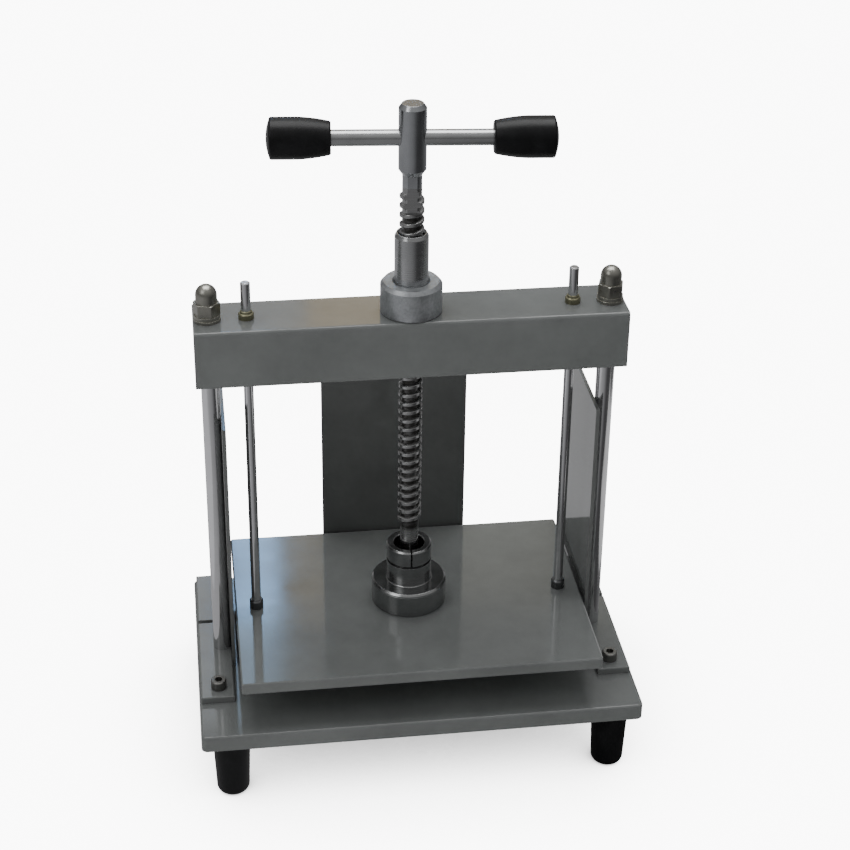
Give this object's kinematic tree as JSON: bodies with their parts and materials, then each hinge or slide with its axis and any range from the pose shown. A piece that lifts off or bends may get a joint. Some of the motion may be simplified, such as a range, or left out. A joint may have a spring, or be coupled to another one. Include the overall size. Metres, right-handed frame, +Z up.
{
  "type": "bookbinding press",
  "caption": "Bench-top screw press for flattening books: a T-handle screw lowers a guided platen onto a base plate, under a crossbeam on two columns, with paper guards on three sides.",
  "frame": {"origin": "on the axis of the press screw, on the surface the feet stand on", "axes": "+Z up along the screw, +X to the operator's right, the operator stands at -Y"},
  "size_m": [0.37, 0.234, 0.566],
  "materials": {
    "grey_paint": "smooth grey enamel, semi-gloss",
    "guard_steel": "thin dark grey enamel, satin",
    "chrome_steel": "hard chrome, polished",
    "turned_steel": "turned, satin",
    "dull_steel": "dull galvanised",
    "screw_steel": "rolled thread, lightly oiled",
    "zinc_steel": "zinc plated",
    "bearing_steel": "ground and hardened",
    "black_oxide": "black oxide, satin",
    "bush_brass": "machined brass",
    "black_plastic": "moulded, slight sheen",
    "black_rubber": "moulded rubber"
  },
  "bodies": {
    "frame": {"base_plate": "grey_paint", "left_side_rail": "grey_paint", "right_side_rail": "grey_paint", "crossbeam": "grey_paint", "beam_end_plates": "grey_paint", "left_side_guard": "guard_steel", "right_side_guard": "guard_steel", "back_guard": "guard_steel", "rail_screws": "zinc_steel", "back_guard_screws": "black_oxide", "foot_screws": "zinc_steel", "column_foot_washers": "zinc_steel", "column_foot_nuts": "zinc_steel", "left_column": "chrome_steel", "right_column": "chrome_steel", "beam_washers": "zinc_steel", "spring_washers": "zinc_steel", "left_cap_nut": "zinc_steel", "right_cap_nut": "zinc_steel", "screw_nut": "turned_steel", "nut_collar": "dull_steel", "left_guide_bush": "bush_brass", "right_guide_bush": "bush_brass", "front_left_foot": "black_rubber", "front_right_foot": "black_rubber", "rear_left_foot": "black_rubber", "rear_right_foot": "black_rubber"},
    "platen": {"platen": "grey_paint", "thrust_housing": "turned_steel", "housing_screws": "black_oxide", "bearing_cap": "turned_steel", "slotted_collar": "turned_steel", "dust_seal": "black_rubber", "lower_race": "bearing_steel", "bearing_balls": "bearing_steel", "ball_cage": "bush_brass", "left_guide_rod": "chrome_steel", "right_guide_rod": "chrome_steel", "left_rod_collar": "turned_steel", "right_rod_collar": "turned_steel"},
    "screw": {"upper_race": "bearing_steel", "screw_spindle": "screw_steel", "handle_hub": "turned_steel", "hub_pin": "zinc_steel", "bar_lock_screw": "black_oxide", "handle_bar": "turned_steel", "left_grip": "black_plastic", "right_grip": "black_plastic"}
  },
  "joints": [
    {"name": "platen_lift", "type": "slide", "parent": "frame", "child": "platen", "axis": [0, 0, 1], "range_m": [-0.0335, 0.168]},
    {"name": "screw_turn", "type": "hinge", "parent": "platen", "child": "screw", "pos_m": [0, 0, 0.3], "axis": [0, 0, 1], "range_deg": [-1513, 7565]}
  ],
  "couplings": [
    {"joint": "screw_turn", "follows": "platen_lift", "rad_per_m": 785.4}
  ]
}
